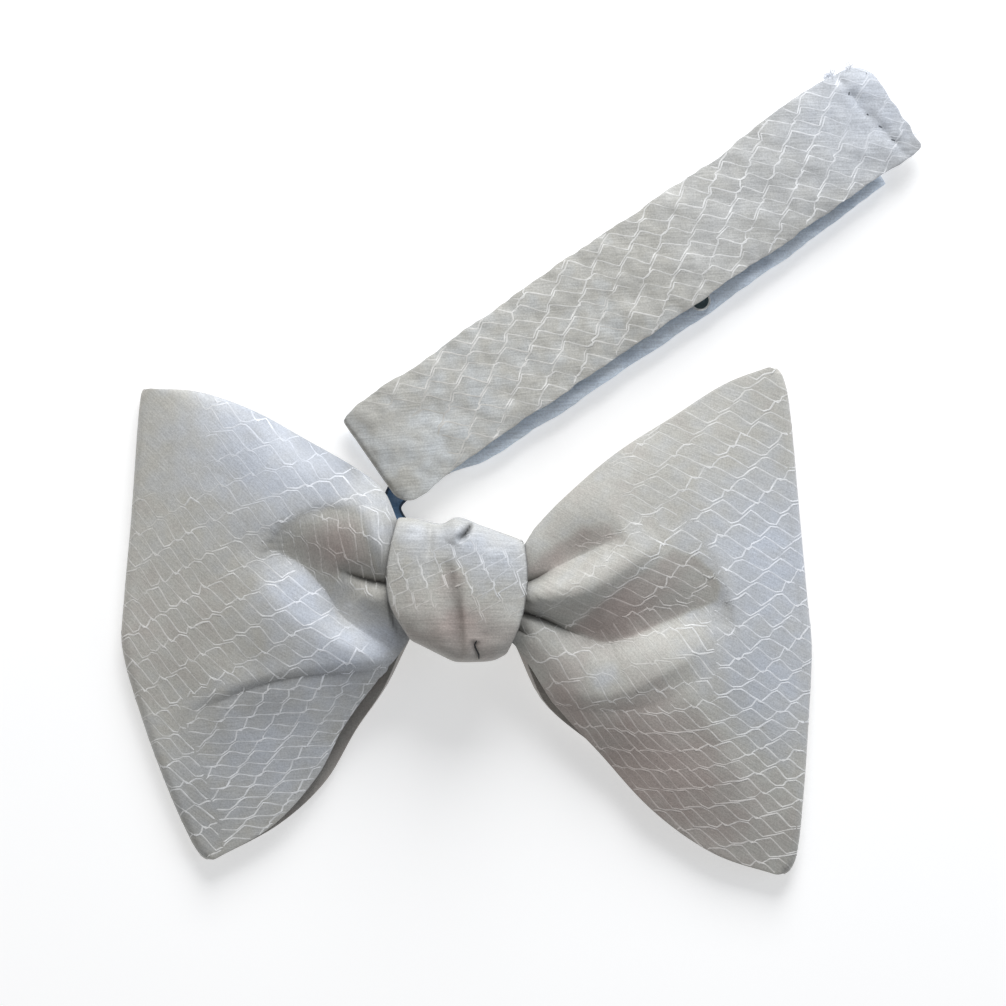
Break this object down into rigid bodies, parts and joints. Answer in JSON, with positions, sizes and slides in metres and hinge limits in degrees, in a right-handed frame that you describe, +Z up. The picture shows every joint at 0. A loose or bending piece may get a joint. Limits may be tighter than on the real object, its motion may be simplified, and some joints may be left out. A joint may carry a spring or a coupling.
{
  "type": "butterfly bow tie",
  "caption": "Silver-grey satin butterfly bow tie with a woven net pattern, tied bow lying flat and its neck band folded up beside it.",
  "frame": {"origin": "middle of the whole object's box, on the surface that it lies on", "axes": "+X along the bow from the left wing to the right wing, +Y across the bow towards the neck band, +Z up from the surface, out of the bow's front"},
  "size_m": [0.1768, 0.1778, 0.0225],
  "materials": {
    "wing_satin": "silver-grey satin with a woven net of pale threads",
    "knot_satin": "silver-grey satin, creased where it wraps the bow",
    "band_satin": "silver-grey satin with a woven net of pale threads, slightly puckered",
    "dark_stud": "dark gunmetal, smooth, with a bright rim"
  },
  "bodies": {
    "root": {"left_wing": "wing_satin", "right_wing": "wing_satin", "knot": "knot_satin", "neck_band": "band_satin", "snap_stud": "dark_stud"}
  },
  "joints": []
}
